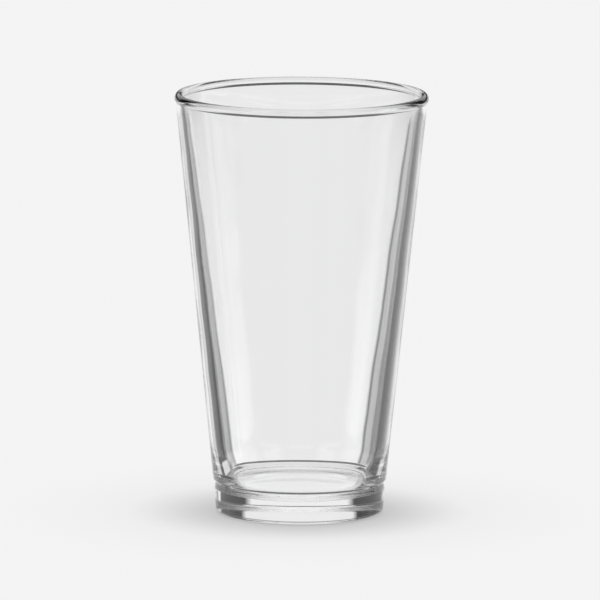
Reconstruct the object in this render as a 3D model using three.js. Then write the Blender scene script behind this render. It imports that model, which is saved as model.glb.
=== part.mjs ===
// A shaker pint glass: a straight tapered tumbler with a beaded rim, a wall that grows thicker
// towards the floor, a heavy base, and a short foot band under a fine groove.
// It is one moulding, turned from one closed profile. Millimetres, +Z up.
// The origin is the middle of the face that the glass rests on.
import * as THREE from 'three';

// Outside
const HEIGHT = 148.2;
const RIM_DIAMETER = 89.0;
const SHOULDER_DIAMETER = 60.7;

// Rim: a rounded lip whose bead stands a little proud of the wall, each depth taken from the top
const LIP_THICKNESS = 2.9;
const LIP_DEPTH = 1.45;
const BEAD_PROUD = 0.3;
const BEAD_WIDEST = 1.6;
const BEAD_DEPTH = 3.9;

// Wall thickness, measured level across the glass
const WALL_UNDER_BEAD = 2.7;
const WALL_AT_FLOOR = 4.8;

// Floor of the drinking space, a little higher in the middle, with a tall soft corner to the wall
const FLOOR_HEIGHT = 10.4;
const FLOOR_RISE = 0.1;
const FLOOR_CORNER_HEIGHT = 15.0;
const FLOOR_CORNER_WIDTH = 2.2;

// Foot band: a small step at FOOT_HEIGHT sets it in under the wall, with a fine groove in the step
const FOOT_HEIGHT = 11.2;
const SHOULDER_STEP = 0.3;
const SHOULDER_SPREAD = 1.3;
const GROOVE_DEPTH = 0.27;
const FOOT_DRAFT = THREE.MathUtils.degToRad(3.3);
const HEEL_HEIGHT = 1.3;
const HEEL_WIDTH = 2.0;

// Underside: a flat ring to stand on, round a very shallow hollow
const BEARING_WIDTH = 3.0;
const PUNT_DEPTH = 0.3;

// Facets round the glass and along each curve of the profile
const SIDES = 72;
const CURVE_STEPS = 4;
const SHOULDER_STEPS = 8;

// Share of a corner's two sides that draws a quarter of an ellipse with one cubic curve
const QUARTER_ELLIPSE = 0.5523;

const CLEAR_GLASS = new THREE.MeshStandardMaterial({
  color: 0xe9ecec,
  roughness: 0.03,
  metalness: 0,
  transparent: true,
  opacity: 0.3,
});

const beadHeight = HEIGHT - BEAD_WIDEST;
const rimRadius = RIM_DIAMETER / 2;
const shoulderRadius = SHOULDER_DIAMETER / 2;
const wallSlope = (rimRadius - BEAD_PROUD - shoulderRadius) / (beadHeight - FOOT_HEIGHT);

/** Outer point of the tapered wall at a height, also where the bead or the foot takes over. */
function outerWall(height) {
  return new THREE.Vector2(shoulderRadius + wallSlope * (height - FOOT_HEIGHT), height);
}

/** Outer point of the foot band at a height: a line of its own draft, set in under the wall. */
function footBand(height) {
  const inset = SHOULDER_STEP + Math.tan(FOOT_DRAFT) * (FOOT_HEIGHT - height);
  return new THREE.Vector2(shoulderRadius - inset, height);
}

/** Outer point of the shoulder at a height: it passes from band to wall, less the groove between. */
function shoulder(height) {
  const low = FOOT_HEIGHT - SHOULDER_SPREAD / 2;
  const share = (height - low) / SHOULDER_SPREAD;
  const blend = THREE.MathUtils.smoothstep(share, 0, 1);
  const groove = (GROOVE_DEPTH * (1 - Math.cos(2 * Math.PI * share))) / 2;
  return footBand(height).lerp(outerWall(height), blend).sub(new THREE.Vector2(groove, 0));
}

/** Inner point of the wall, level with its outer point and one wall thickness further in. */
function innerWall(height, thickness) {
  return outerWall(height).sub(new THREE.Vector2(thickness, 0));
}

/** Where the line from one point through a second one reaches a height. */
function lineAtHeight(from, through, height) {
  return from.clone().lerp(through, (height - from.y) / (through.y - from.y));
}

/** A smooth curve from one point to another, leaving and arriving along the two handles. */
function softStep(path, leave, leaveHandle, arriveHandle, arrive) {
  path.lineTo(leave.x, leave.y);
  path.bezierCurveTo(leaveHandle.x, leaveHandle.y, arriveHandle.x, arriveHandle.y, arrive.x, arrive.y);
}

/** A quarter of an ellipse from one point to another, along the two lines that meet in the corner. */
function oblongCorner(path, leave, corner, arrive) {
  const leaveHandle = leave.clone().lerp(corner, QUARTER_ELLIPSE);
  const arriveHandle = arrive.clone().lerp(corner, QUARTER_ELLIPSE);
  softStep(path, leave, leaveHandle, arriveHandle, arrive);
}

/** Underside, from the middle of the hollow out over the ring and round the heel. */
function drawFoot(path) {
  const heelCorner = footBand(0);
  const heelStart = heelCorner.clone().sub(new THREE.Vector2(HEEL_WIDTH, 0));
  const hollowRadius = heelStart.x - BEARING_WIDTH;
  path.moveTo(0, PUNT_DEPTH);
  path.quadraticCurveTo(hollowRadius / 2, PUNT_DEPTH, hollowRadius, 0);
  oblongCorner(path, heelStart, heelCorner, footBand(HEEL_HEIGHT));
}

/** Outside, from the foot band over the shoulder, up the taper, over the bead and round the lip. */
function drawOutside(path) {
  for (let step = 0; step <= SHOULDER_STEPS; step += 1) {
    const share = step / SHOULDER_STEPS - 0.5;
    const edge = shoulder(FOOT_HEIGHT + share * SHOULDER_SPREAD);
    path.lineTo(edge.x, edge.y);
  }

  const beadFoot = HEIGHT - BEAD_DEPTH;
  const beadWaist = (beadFoot + beadHeight) / 2;
  const beadEdge = new THREE.Vector2(rimRadius, beadHeight);
  const underBead = new THREE.Vector2(rimRadius, beadWaist);
  softStep(path, outerWall(beadFoot), outerWall(beadWaist), underBead, beadEdge);

  const lipTop = new THREE.Vector2(rimRadius - LIP_THICKNESS / 2, HEIGHT);
  oblongCorner(path, beadEdge, new THREE.Vector2(rimRadius, HEIGHT), lipTop);
}

/** Drinking space, from the top of the lip down the wall, round the corner and over the floor. */
function drawInside(path) {
  const lipTop = new THREE.Vector2(rimRadius - LIP_THICKNESS / 2, HEIGHT);
  const lipInside = new THREE.Vector2(rimRadius - LIP_THICKNESS, HEIGHT - LIP_DEPTH);
  oblongCorner(path, lipTop, new THREE.Vector2(lipInside.x, HEIGHT), lipInside);

  const beadFoot = HEIGHT - BEAD_DEPTH;
  const waist = (beadFoot + lipInside.y) / 2;
  const wallTop = innerWall(beadFoot, WALL_UNDER_BEAD);
  const wallFoot = innerWall(FLOOR_HEIGHT, WALL_AT_FLOOR);
  const wallWaist = lineAtHeight(wallTop, wallFoot, waist);
  softStep(path, lipInside, new THREE.Vector2(lipInside.x, waist), wallWaist, wallTop);

  const cornerTop = lineAtHeight(wallFoot, wallTop, FLOOR_HEIGHT + FLOOR_CORNER_HEIGHT);
  const floorEdge = wallFoot.clone().sub(new THREE.Vector2(FLOOR_CORNER_WIDTH, 0));
  oblongCorner(path, cornerTop, wallFoot, floorEdge);

  const half = floorEdge.x / 2;
  const middle = FLOOR_HEIGHT + FLOOR_RISE;
  path.bezierCurveTo(half, FLOOR_HEIGHT, half, middle, 0, middle);
}

/** The closed half section of the glass, from the axis under the base to the axis on the floor. */
function glassProfile() {
  const path = new THREE.Path();
  drawFoot(path);
  drawOutside(path);
  drawInside(path);
  return path.getPoints(CURVE_STEPS);
}

/** The glass, turned round the vertical axis. */
function makePintGlass() {
  const geometry = new THREE.LatheGeometry(glassProfile(), SIDES);
  geometry.rotateX(Math.PI / 2);
  const glass = new THREE.Mesh(geometry, CLEAR_GLASS);
  glass.name = 'pint_glass';
  return glass;
}

const shakerPint = new THREE.Group();
shakerPint.add(makePintGlass());

export default shakerPint;
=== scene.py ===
# %% [markdown]
# # A shaker pint glass
# This lesson builds one clear tumbler: a tapered wall, a beaded rim, a heavy base and a short foot
# band under a fine groove. It is a single moulding of soda-lime glass, so it is a single mesh.
# A clear thing has no colour of its own. What we see of it is the studio around it, bent by its
# shape. Two things decide the picture: the curve of its section, and where the light is placed.

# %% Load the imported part
import math

import bpy
import numpy as np
from mathutils import Matrix, Vector


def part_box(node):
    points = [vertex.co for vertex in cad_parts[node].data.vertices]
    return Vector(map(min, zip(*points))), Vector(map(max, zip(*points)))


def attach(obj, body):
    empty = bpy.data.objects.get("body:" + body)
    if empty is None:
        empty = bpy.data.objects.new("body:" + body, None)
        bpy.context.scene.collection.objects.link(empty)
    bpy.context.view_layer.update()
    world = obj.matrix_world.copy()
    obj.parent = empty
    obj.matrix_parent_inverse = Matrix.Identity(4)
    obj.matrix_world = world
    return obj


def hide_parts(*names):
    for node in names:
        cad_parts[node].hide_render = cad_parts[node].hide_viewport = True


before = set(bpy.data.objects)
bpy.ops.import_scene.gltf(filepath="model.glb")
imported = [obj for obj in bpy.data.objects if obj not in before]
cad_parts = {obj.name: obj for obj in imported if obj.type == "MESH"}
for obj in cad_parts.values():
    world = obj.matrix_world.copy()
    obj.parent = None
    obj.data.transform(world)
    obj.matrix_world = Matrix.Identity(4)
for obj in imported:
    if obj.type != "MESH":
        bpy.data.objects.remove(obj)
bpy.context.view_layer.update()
MM = 0.001
low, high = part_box("pint_glass")
height = high.z
rim_radius = (high.x - low.x) / 2
print(f"part: {height / MM:.1f} mm high, {2 * rim_radius / MM:.1f} mm over the rim")

# %% [markdown]
# ## Drawing the section
# The glass is round, so its whole shape is one closed line in the plane of radius and height. A
# drawn curve with a Screw modifier would turn it too, but glass shows every kink of its section as
# a line of light. Formulas keep each stretch exact, and they let us put points only where the line
# bends. Three kinds of stretch do for most of it: straight lines, soft curves and quarters of an
# ellipse. A fourth kind, for steep flanks, comes with the shoulder.

# %% Kinds of stretch
ELLIPSE_HANDLE = 0.5523


def point(radius, level):
    """A point of the section, as an array."""
    return np.array([radius, level])


def straight(start, end, count):
    """Points start + t (end - start) for t from 0 up to, but not including, 1."""
    t = np.linspace(0, 1, count, endpoint=False)[:, None]
    return start + t * (end - start)


def soft_curve(start, leave, arrive, end, count):
    """A cubic Bezier curve: it leaves start towards one handle, and reaches end from the other."""
    t = np.linspace(0, 1, count, endpoint=False)[:, None]
    s = 1 - t
    return s**3 * start + 3 * s**2 * t * leave + 3 * s * t**2 * arrive + t**3 * end


def quarter_ellipse(start, corner, end, count):
    """The soft curve nearest to a quarter of an ellipse: handles 0.55 of the way to the corner."""
    leave = start + ELLIPSE_HANDLE * (corner - start)
    arrive = end + ELLIPSE_HANDLE * (corner - end)
    return soft_curve(start, leave, arrive, end, count)


stretches = {}
print("kinds of stretch: straight, soft curve, quarter of an ellipse")

# %% [markdown]
# ## The two outer lines
# The tapered wall and the foot band are the straight lines that everything else hangs on. The wall
# runs from the shoulder, low on the glass, up to just under the bead of the rim. The band below it
# leans a little less, as a mould has to let the glass slide out. Each line is a function of the
# level, so that every later piece can ask it for a point.

# %% Wall line and foot line
shoulder_radius = 30.35 * MM
foot_height = 11.2 * MM
foot_inset = 0.3 * MM
foot_draft = math.radians(3.3)
bead_proud = 0.37 * MM
bead_level = height - 2.05 * MM
wall_slope = (rim_radius - bead_proud - shoulder_radius) / (bead_level - foot_height)


def outer_wall(level):
    """The wall's outer line: shoulder_radius + slope (level - foot_height)."""
    return point(shoulder_radius + wall_slope * (level - foot_height), level)


def foot_band(level):
    """The foot band's line: set in from the shoulder, and leaning in by its own draft."""
    inset = foot_inset + math.tan(foot_draft) * (foot_height - level)
    return point(shoulder_radius - inset, level)


wall_lean, band_lean = math.degrees(math.atan(wall_slope)), math.degrees(foot_draft)
print(f"wall leans {wall_lean:.1f} degrees, foot band {band_lean:.1f} degrees")

# %% [markdown]
# ## Foot
# A glass doesn't stand on its whole underside. A very shallow hollow leaves a flat ring near the
# edge, so that it can't rock, and a rounded heel leads up into the band. The hollow is a parabola.
# A Bevel modifier could round the heel, but a quarter of an ellipse sets its width and its height
# one by one.

# %% Hollow, bearing ring, heel and foot band
heel_width, heel_height = 2.0 * MM, 1.5 * MM
ring_width = 3.0 * MM
hollow_depth = 0.3 * MM
shoulder_low, shoulder_high = 8.2 * MM, 11.9 * MM

heel_start = foot_band(0) - point(heel_width, 0)
heel_end = foot_band(heel_height)
hollow_radius = heel_start[0] - ring_width

t = np.linspace(0, 1, 12, endpoint=False)
stretches["hollow"] = np.column_stack([hollow_radius * t, hollow_depth * (1 - t**2)])
stretches["bearing ring"] = straight(point(hollow_radius, 0), heel_start, count=4)
stretches["heel"] = quarter_ellipse(heel_start, foot_band(0), heel_end, count=16)
stretches["foot band"] = straight(heel_end, foot_band(shoulder_low), count=5)
print(f"foot: ring {2 * hollow_radius / MM:.1f} to {2 * heel_start[0] / MM:.1f} mm across")

# %% [markdown]
# ## Shoulder
# Where the wall meets the band there is a fine groove. Its upper flank is steep and about a
# millimetre high, and its lower flank fades slowly into the band. A steep flank is a small prism
# that runs round the glass. It bends the view into the dark part of the studio, and that is the
# dark line over the base. A ring cut out with a Boolean would make a groove too, but what counts
# here is the slope, so the shoulder is written as a lean by level, and summed up to a radius.

# %% Shoulder
undercut_lean, flank_lean = -0.17, 0.9
turns = [shoulder_low, 8.9 * MM, 10.65 * MM, 10.9 * MM, 11.72 * MM, shoulder_high]
leans = [math.tan(foot_draft)] + 2 * [undercut_lean] + 2 * [flank_lean] + [wall_slope]


def leaning(start, end, turns, leans, count):
    """Radius as the running sum of lean times rise, with the small rest shared out evenly."""
    level = np.linspace(start[1], end[1], count)
    lean = np.interp(level, turns, leans)
    climb = np.concatenate([[0], np.cumsum((lean[1:] + lean[:-1]) / 2 * np.diff(level))])
    rest = end[0] - start[0] - climb[-1]
    return np.column_stack([start[0] + climb + np.linspace(0, rest, count), level])[:-1]


shoulder = leaning(foot_band(shoulder_low), outer_wall(shoulder_high), turns, leans, count=57)
stretches["shoulder"] = shoulder
deepest = shoulder[shoulder[:, 0].argmin()]
groove = foot_band(deepest[1])[0] - deepest[0]
print(f"shoulder: groove {groove / MM:.2f} mm deep under the line of the band")

# %% [markdown]
# ## Wall and rim
# A bar glass gets a bead at the rim, which keeps the edge from chipping. The bead swells out of the
# wall by a good third of a millimetre and then rounds over into the lip. A Bevel would round the
# edge but not swell it. The bead's underside is one more small prism, which draws the dark lines
# round the rim, so it is given by its lean as well.

# %% Outer wall, bead and lip
lip_thickness = 3.05 * MM
bead_foot = height - 3.15 * MM
bead_ease = 0.15 * MM
bead_lean = 0.5
bead_edge = point(rim_radius, bead_level)
lip_top = point(rim_radius - lip_thickness / 2, height)
lip_inside = point(rim_radius - lip_thickness, height - lip_thickness / 2)

turns = [bead_foot, bead_foot + bead_ease, bead_level - bead_ease, bead_level]
leans = [wall_slope, bead_lean, bead_lean, 0]
outer_corner, inner_corner = point(rim_radius, height), point(lip_inside[0], height)
stretches["outer wall"] = straight(outer_wall(shoulder_high), outer_wall(bead_foot), count=24)
stretches["bead"] = leaning(outer_wall(bead_foot), bead_edge, turns, leans, count=25)
stretches["outer lip"] = quarter_ellipse(bead_edge, outer_corner, lip_top, count=14)
stretches["inner lip"] = quarter_ellipse(lip_top, inner_corner, lip_inside, count=14)
print(f"rim: lip {lip_thickness / MM:.2f} mm thick, bead {bead_proud / MM:.2f} mm proud")

# %% [markdown]
# ## Drinking space
# The wall grows from 2.7 mm under the rim to 4.8 mm at the floor. A Solidify modifier would give
# it one thickness all over, so the inner line is drawn by itself. A pressed glass cools first in
# its thin parts, and the inner corner stays soft and tall: it begins 15 mm above the floor. That
# corner is what spreads the wide dark strips at the foot of the wall.

# %% Inner wall, floor corner and floor
wall_under_bead, wall_at_floor = 2.7 * MM, 4.8 * MM
corner_height, corner_width = 15.0 * MM, 2.2 * MM
floor_height, floor_rise = 10.4 * MM, 0.1 * MM

wall_top = outer_wall(bead_foot) - point(wall_under_bead, 0)
wall_foot = outer_wall(floor_height) - point(wall_at_floor, 0)
inner_lean = (wall_top - wall_foot) / (wall_top[1] - wall_foot[1])
waist = (bead_foot + lip_inside[1]) / 2
lip_waist = point(lip_inside[0], waist)
wall_waist = wall_foot + inner_lean * (waist - floor_height)
corner_top = wall_foot + inner_lean * corner_height
floor_edge = wall_foot - point(corner_width, 0)
floor_middle = point(0, floor_height + floor_rise)
edge_handle = point(floor_edge[0] / 2, floor_edge[1])
middle_handle = point(floor_edge[0] / 2, floor_middle[1])

stretches["lip foot"] = soft_curve(lip_inside, lip_waist, wall_waist, wall_top, count=10)
stretches["inner wall"] = straight(wall_top, corner_top, count=64)
stretches["floor corner"] = quarter_ellipse(corner_top, wall_foot, floor_edge, count=28)
stretches["floor"] = soft_curve(floor_edge, edge_handle, middle_handle, floor_middle, count=16)
section = np.vstack([*stretches.values(), floor_middle])
print(f"section: {len(section)} points in {len(stretches)} stretches")

# %% [markdown]
# ## Turning the section, and the waves in the wall
# The surface is a function of two numbers: the place along the section and the angle round the
# axis. The inside of a pressed glass is never quite true, because the plunger leaves it hot and
# soft. A few slow waves of a few hundredths of a millimetre make the strips in the wall waver as
# they do in real glass. A Displace modifier could do that with a noise, but sines are known
# exactly: each one runs a whole number of times round, so the skin still closes, and fades out at
# both ends of the wall.

# %% Rings of points
ROUND = 320
WAVE_HEIGHT = 0.035 * MM
WAVE_FADE = 15 * MM
waves = [(0.5, 60 * MM, 2, 0.3), (0.3, 38 * MM, -3, 1.9), (0.2, 23 * MM, 5, 4.1)]


def wall_waves(level, angle):
    """The sum of share * sin(2 pi level / length + turns * angle + start), faded at both ends."""
    total = sum(
        share * np.sin(2 * math.pi * level / length + turns * angle + start)
        for share, length, turns, start in waves
    )
    to_end = np.minimum(level - level.min(), level.max() - level)
    fade = np.clip(to_end / WAVE_FADE, 0, 1)
    return WAVE_HEIGHT * total * fade**2 * (3 - 2 * fade)


names = np.repeat(list(stretches), [len(part) for part in stretches.values()])[1:]
angles = np.linspace(0, 2 * math.pi, ROUND, endpoint=False)[None, :]
radii = np.repeat(section[1:-1, :1], ROUND, axis=1)
levels = np.repeat(section[1:-1, 1:], ROUND, axis=1)
inner = names == "inner wall"
radii[inner] += wall_waves(levels[inner], angles)
rings = np.stack([radii * np.cos(angles), radii * np.sin(angles), levels], axis=-1)
print(f"rings: {rings.shape[0]} of {rings.shape[1]} points")

# %% [markdown]
# ## The closed skin
# Light has to know which side is glass, so the skin must be closed, with every face looking
# outwards. The Spin tool would leave doubled points at the axis and at the seam. Here rings are
# joined by quads, and the last column meets the first. Both ends of the section lie on the axis,
# so each one is a single point with a fan of triangles.

# %% The glass
def closed_skin(name, grid, start, end):
    """A smooth mesh from rings of points (rings x round x 3), closed at each end by one point."""
    count, around = grid.shape[:2]
    points = np.vstack([start, grid.reshape(-1, 3), end])
    ring, spot = np.meshgrid(np.arange(count - 1), np.arange(around), indexing="ij")
    beside = (spot + 1) % around
    corners = [ring * around + spot, ring * around + beside]
    corners += [(ring + 1) * around + beside, (ring + 1) * around + spot]
    quads = 1 + np.stack(corners, axis=-1).reshape(-1, 4)
    here = np.arange(around)
    after = (here + 1) % around
    first_fan = np.stack([0 * here, 1 + after, 1 + here], axis=-1)
    last_ring = 1 + (count - 1) * around
    last_point = 0 * here + len(points) - 1
    last_fan = np.stack([last_point, last_ring + here, last_ring + after], axis=-1)
    faces = quads.tolist() + first_fan.tolist() + last_fan.tolist()
    mesh = bpy.data.meshes.new(name)
    mesh.from_pydata(points.tolist(), [], faces)
    mesh.shade_smooth()
    mesh.update()
    made = bpy.data.objects.new(name, mesh)
    bpy.context.scene.collection.objects.link(made)
    return made


under, inside = [0, 0, section[0, 1]], [0, 0, section[-1, 1]]
glass = closed_skin("pint_glass_clear", rings, under, inside)
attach(glass, "root")
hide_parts("pint_glass")
print(f"glass: {len(glass.data.vertices)} points, {len(glass.data.polygons)} faces")

# %% [markdown]
# ## Clear glass
# A Principled BSDF with full transmission bends light by its index of refraction, 1.52 for
# soda-lime glass. A Glass BSDF looks the same, but the Principled one can be exported. Three small
# faults make the glass look made rather than perfect: the skin of the mould leaves ripples about a
# centimetre long, washing leaves patches that are very slightly less polished, and the ring that
# slides on tables is scuffed. All of them are read from object coordinates, in metres.

# %% The glass's finish
def add_node(tree, kind, inputs=(), **settings):
    """Adds a node. Each input is linked if its value is a socket, and set otherwise."""
    made = tree.nodes.new(kind)
    for key, value in settings.items():
        setattr(made, key, value)
    for key, value in dict(inputs).items():
        if isinstance(value, bpy.types.NodeSocket):
            tree.links.new(value, made.inputs[key])
        else:
            made.inputs[key].default_value = value
    return made


def noise(tree, place, scale, detail):
    """A cloudy pattern between 0 and 1 with a number of patches per metre."""
    inputs = {"Vector": place, "Scale": scale, "Detail": detail}
    return add_node(tree, "ShaderNodeTexNoise", inputs).outputs[0]


def span(tree, value, least, most, at_least, at_most):
    """Maps a value from one range to another, and holds it at the ends."""
    inputs = {"Value": value, "From Min": least, "From Max": most}
    inputs |= {"To Min": at_least, "To Max": at_most}
    return add_node(tree, "ShaderNodeMapRange", inputs).outputs[0]


GLASS_INDEX = 1.52
RIPPLE_HEIGHT = 0.012 * MM
clear = bpy.data.materials.new("clear_glass")
clear.use_nodes = True
finish = clear.node_tree
place = add_node(finish, "ShaderNodeTexCoord").outputs["Object"]
level = add_node(finish, "ShaderNodeSeparateXYZ", {0: place}).outputs["Z"]

ripples = noise(finish, place, scale=80.0, detail=1.0)
bump = {"Height": ripples, "Strength": 1.0, "Distance": RIPPLE_HEIGHT}
skin = add_node(finish, "ShaderNodeBump", bump).outputs["Normal"]
polish = span(finish, noise(finish, place, scale=45.0, detail=3.0), 0.5, 0.8, 0.0, 0.006)
scuffs = span(finish, noise(finish, place, scale=900.0, detail=2.0), 0.4, 0.7, 0.05, 0.35)
on_ring = span(finish, level, 0.02 * MM, 0.12 * MM, 1.0, 0.0)
worn = add_node(finish, "ShaderNodeMath", {0: on_ring, 1: scuffs}, operation="MULTIPLY").outputs[0]
rough = add_node(finish, "ShaderNodeMath", {0: polish, 1: worn}, operation="MAXIMUM").outputs[0]

shader = finish.nodes["Principled BSDF"]
shader.inputs["Base Color"].default_value = (0.992, 0.994, 0.993, 1)
shader.inputs["IOR"].default_value = GLASS_INDEX
shader.inputs["Transmission Weight"].default_value = 1.0
finish.links.new(rough, shader.inputs["Roughness"])
finish.links.new(skin, shader.inputs["Normal"])
glass.data.materials.append(clear)
print(f"clear glass: {len(finish.nodes)} nodes, index of refraction {GLASS_INDEX}")

# %% [markdown]
# ## Floor and overhead lamps
# The glass stands on a plain pale sweep, a hair under its ring. A narrow lamp and a wide one hang
# straight above it, so the shadow is firm at the foot and fades outwards. The soft light of the sky
# passes the glass by, because a renderer lets too little of it through clear glass, and the shadow
# would spread too far. Light that has gone through the glass doesn't look at the floor but at the
# studio panels below, so the strips in the glass can be placed without painting the floor. A ray
# crosses the glass many times before it leaves, so it is allowed many bounces.

# %% Floor and lamps
scene = bpy.context.scene
scene.view_settings.view_transform = "Standard"
scene.cycles.max_bounces = 40
scene.cycles.transmission_bounces = 40
scene.cycles.glossy_bounces = 32

SWEEP_HALF, SWEEP_LEVEL, PALE = 12.0, -0.2 * MM, 0.9
sweep_corners = [(-1, -1), (1, -1), (1, 1), (-1, 1)]
sweep = [(SWEEP_HALF * x, SWEEP_HALF * y, SWEEP_LEVEL) for x, y in sweep_corners]
floor_mesh = bpy.data.meshes.new("floor")
floor_mesh.from_pydata(sweep, [], [(0, 1, 2, 3)])
floor = bpy.data.objects.new("floor", floor_mesh)
scene.collection.objects.link(floor)
floor.visible_transmission = False
glass.visible_diffuse = False

pale = bpy.data.materials.new("pale_floor")
pale.use_nodes = True
matt = pale.node_tree.nodes["Principled BSDF"]
matt.inputs["Base Color"].default_value = (PALE, PALE, PALE, 1)
matt.inputs["Roughness"].default_value = 1.0
matt.inputs["Specular IOR Level"].default_value = 0.0
floor_mesh.materials.append(pale)

lamps = [("overhead", 14, 0.8), ("overhead_wide", 48, 0.65)]
for name, width, strength in lamps:
    sun = bpy.data.lights.new(name, "SUN")
    sun.angle = math.radians(width)
    sun.energy = strength
    sun.cycles.use_multiple_importance_sampling = False
    lamp = bpy.data.objects.new(name, sun)
    lamp.visible_transmission = False
    lamp.visible_glossy = False
    scene.collection.objects.link(lamp)
print(f"floor {2 * SWEEP_HALF:.0f} m wide, {len(lamps)} overhead lamps")

# %% [markdown]
# ## Studio panels
# Clear glass is photographed against a bright panel with dark cards at both sides. Through the
# middle of the glass we see the panel, and near its edges the light is bent so far that we see the
# cards: they draw the outline. Glowing planes could stand round the glass, but then the floor would
# see them too. So the whole studio is a world shader, a grey level for each direction. A direction
# has an azimuth, 0 straight behind the glass and positive to the right, and an elevation above the
# horizon.

# %% Helpers for the panels
world = bpy.data.worlds.new("studio")
scene.world = world
world.use_nodes = True
world.cycles.sampling_method = "NONE"
tree = world.node_tree
tree.nodes.clear()


def maths(operation, *values):
    """The output of a Math node on sockets and numbers."""
    return add_node(tree, "ShaderNodeMath", enumerate(values), operation=operation).outputs[0]


def across(angle, stops):
    """A row of panels: grey levels by an angle, from the left (-90 degrees) to the right (90)."""
    factor = maths("MULTIPLY_ADD", angle, 1 / math.pi, 0.5)
    made = add_node(tree, "ShaderNodeValToRGB", {"Fac": factor})
    elements = made.color_ramp.elements
    places = [degrees / 180 + 0.5 for degrees, _ in stops]
    elements[0].position, elements[1].position = places[0], places[-1]
    for position in places[1:-1]:
        elements.new(position)
    for element, (_, grey) in zip(elements, stops):
        element.color = (grey, grey, grey, 1)
    return made.outputs["Color"]


def mix(factor, first, second):
    """The first grey where the factor is 0, and the second where it is 1."""
    made = add_node(tree, "ShaderNodeMix", {"Factor": factor}, data_type="RGBA")
    for name, value in (("A", first), ("B", second)):
        socket = [s for s in made.inputs if s.name == name and s.type == "RGBA"][0]
        if isinstance(value, bpy.types.NodeSocket):
            tree.links.new(value, socket)
        else:
            socket.default_value = (value, value, value, 1)
    return [s for s in made.outputs if s.type == "RGBA"][0]


def edge(angle, degrees, soft):
    """0 where an angle is less than a number of degrees, and 1 where it is more."""
    start, stop = math.radians(degrees - soft), math.radians(degrees + soft)
    return span(tree, angle, start, stop, 0.0, 1.0)


direction = add_node(tree, "ShaderNodeTexCoord").outputs["Generated"]
x, y, z = add_node(tree, "ShaderNodeSeparateXYZ", {0: direction}).outputs
azimuth = maths("ARCTAN2", x, y)
elevation = maths("ARCSINE", z)
side = maths("ARCSINE", x)
turned = maths("ABSOLUTE", azimuth)
print("directions: azimuth, elevation, angle to the side")

# %% [markdown]
# ## Panels behind the glass
# Five rows of panels lie above one another, each bright in the middle and dark at its sides. The
# row at the height of the table is seen through the wall, and its narrow stops are the thin lines
# in the strips. Between the level row and the upper one is a dark gap, as between a table's edge
# and a window. The flank of the shoulder and the underside of the bead bend the view into it, which
# draws their lines. Each stop is an angle in degrees and a grey level.

# %% Rows of panels
BRIGHT, GAP, ZENITH = 0.89, 0.12, 1.0
upper = across(side, [
    (-90, 0.3), (-74, 0.3), (-70, 0.03), (-33, 0.03), (-29, 0.84), (29, 0.84), (33, 0.06),
    (60, 0.06), (63, 1.0), (90, 1.0),
])
level_row = across(azimuth, [
    (-90, 0.05), (-30, 0.05), (-25, BRIGHT), (25, BRIGHT), (30, 0.06), (60, 0.06), (63, 1.0),
    (90, 1.0),
])
table = across(azimuth, [
    (-90, 0.03), (-45, 0.03), (-27.5, 0.05), (-25, 0.6), (-20, 0.5), (-17, 0.42), (-15.5, 0.35),
    (-14, 1.08), (-8, 0.98), (-4, BRIGHT), (4, BRIGHT), (7, 0.98), (10.3, 0.98), (10.8, 0.2),
    (11.7, 0.2), (12.2, 0.62), (17, 0.62), (18.5, 0.2), (30, 0.09), (90, 0.09),
])
near = across(azimuth, [
    (-90, 0.9), (-58, 0.9), (-50, 0.02), (-24, 0.02), (-19, 0.82), (19, 0.82), (26, 0.04),
    (50, 0.06), (58, 0.45), (90, 0.45),
])
below = across(side, [
    (-90, 0.85), (-60, 0.7), (-45, 0.5), (-30, 0.5), (-20, 0.78), (20, 0.78), (30, 0.5),
    (45, 0.5), (60, 0.45), (90, 0.5),
])

rows = [
    (-30, 2, near), (-20.5, 1, table), (-9.8, 0.5, level_row), (0.2, 0.4, GAP), (8, 0.5, upper),
    (60, 8, ZENITH),
]
studio = below
for bottom, soft, panels in rows:
    studio = mix(edge(elevation, bottom, soft), studio, panels)
print(f"panels: {1 + len(rows)} bands from the floor to the zenith, one of them the dark gap")

# %% [markdown]
# ## The rest of the room
# The room behind the camera is dark, which keeps the front of the glass free of reflections. A few
# bright windows are left in it, at the heights where someone who walks round the glass looks
# through its wall or, by way of a mirror image in its underside, through its foot. A low pane to
# the left is for a look from above. So it is a clear glass from every side.

# %% Windows round the room
PANE_EVERY = math.radians(45)
LOW_PANE, ROOM_LOW, ROOM = 0.75, 0.6, 0.1


def window(bottom, top, nearest, furthest):
    """1 between two elevations and two angles from straight behind, and 0 elsewhere.

    A furthest angle over 180 leaves out the far edge, so the window goes on behind the camera.
    """
    tall = maths("SUBTRACT", edge(elevation, bottom, 0.4), edge(elevation, top, 0.4))
    wide = maths("SUBTRACT", edge(turned, nearest, 1), edge(turned, furthest, 1))
    return maths("MULTIPLY", tall, wide)


offset = maths("WRAP", azimuth, PANE_EVERY / 2, -PANE_EVERY / 2)
panes = across(offset, [
    (-20, 0.05), (-18.5, 0.4), (-14.5, 0.45), (-13, 0.95), (-5, 0.86), (5, 0.86), (13, 0.95),
    (14.5, 0.45), (18.5, 0.4), (20, 0.05),
])
low_left = maths("MULTIPLY", window(-28.8, -23.4, 32, 59), maths("LESS_THAN", azimuth, 0))
studio = mix(low_left, studio, LOW_PANE)

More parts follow.
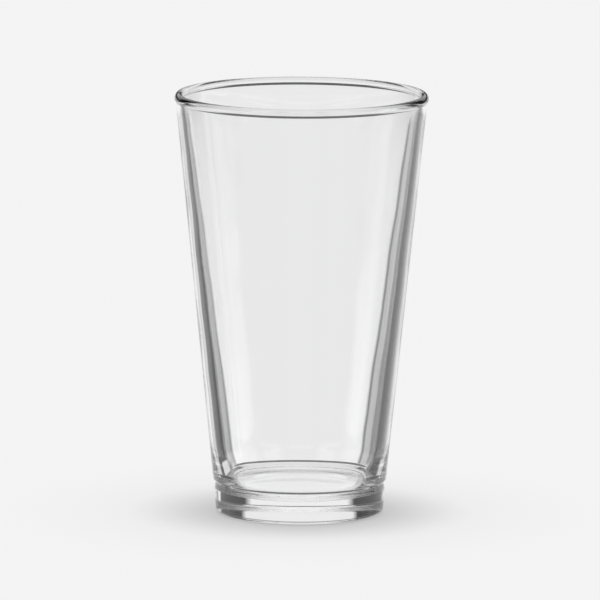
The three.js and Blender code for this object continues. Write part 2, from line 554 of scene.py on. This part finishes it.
room = mix(edge(elevation, -20, 1), ROOM_LOW, ROOM)
under_ceiling = maths("SUBTRACT", 1, edge(elevation, 58, 6))
in_room = maths("MULTIPLY", edge(turned, 100, 2), under_ceiling)
studio = mix(in_room, studio, room)

windows = [(-20, -8, 112, 200), (-7, 0.2, 68, 112), (11, 22, 112, 158)]
for bottom, top, nearest, furthest in windows:
    studio = mix(window(bottom, top, nearest, furthest), studio, panes)
print(f"room: {len(windows)} rows of windows and a low pane")

# %% [markdown]
# ## What the camera and the floor see
# The backdrop and the floor should look like one plain pale surface, however the panels are set.
# So a ray straight from the camera sees an even sky, and the floor is lit by an even soft light
# instead of the panels. The Light Path node tells these rays apart from those that left the glass.

# %% Sky and soft light
SKY, SOFT = 0.896, 0.54
light_path = add_node(tree, "ShaderNodeLightPath").outputs
from_floor = maths("GREATER_THAN", light_path["Diffuse Depth"], 0.5)
studio = mix(from_floor, studio, SOFT)
studio = mix(light_path["Is Camera Ray"], studio, SKY)
background = add_node(tree, "ShaderNodeBackground", {"Color": studio, "Strength": 1.0})
add_node(tree, "ShaderNodeOutputWorld", {"Surface": background.outputs[0]})
print(f"studio: {len(tree.nodes)} nodes")

# %% [markdown]
# ## Camera
# The rim and the foot are two circles, and how flat they look gives the camera's height: a little
# under nine degrees. They differ so little in flatness that the camera must be far away, with a
# long lens. It is placed by these angles and not by eye, so that the outline fits closely.

# %% Camera
camera_elevation = math.radians(8.937)
camera_roll = math.radians(0.302)
camera_distance = 3.5
focal_pixels, picture_pixels = 9985, 600
target = Vector((-0.19 * MM, 0, 74.95 * MM))

lens = bpy.data.cameras.new("camera")
lens.sensor_width = 36
lens.lens = lens.sensor_width * focal_pixels / picture_pixels
camera = bpy.data.objects.new("camera", lens)
scene.collection.objects.link(camera)
back = Vector((0, -math.cos(camera_elevation), math.sin(camera_elevation)))
camera.location = target + back * camera_distance
camera.rotation_mode = "QUATERNION"
facing = (-back).to_track_quat("-Z", "Y").to_matrix() @ Matrix.Rotation(camera_roll, 3, "Z")
camera.rotation_quaternion = facing.to_quaternion()
scene.camera = camera
print(f"camera: {camera_distance} m away, {lens.lens:.0f} mm lens")
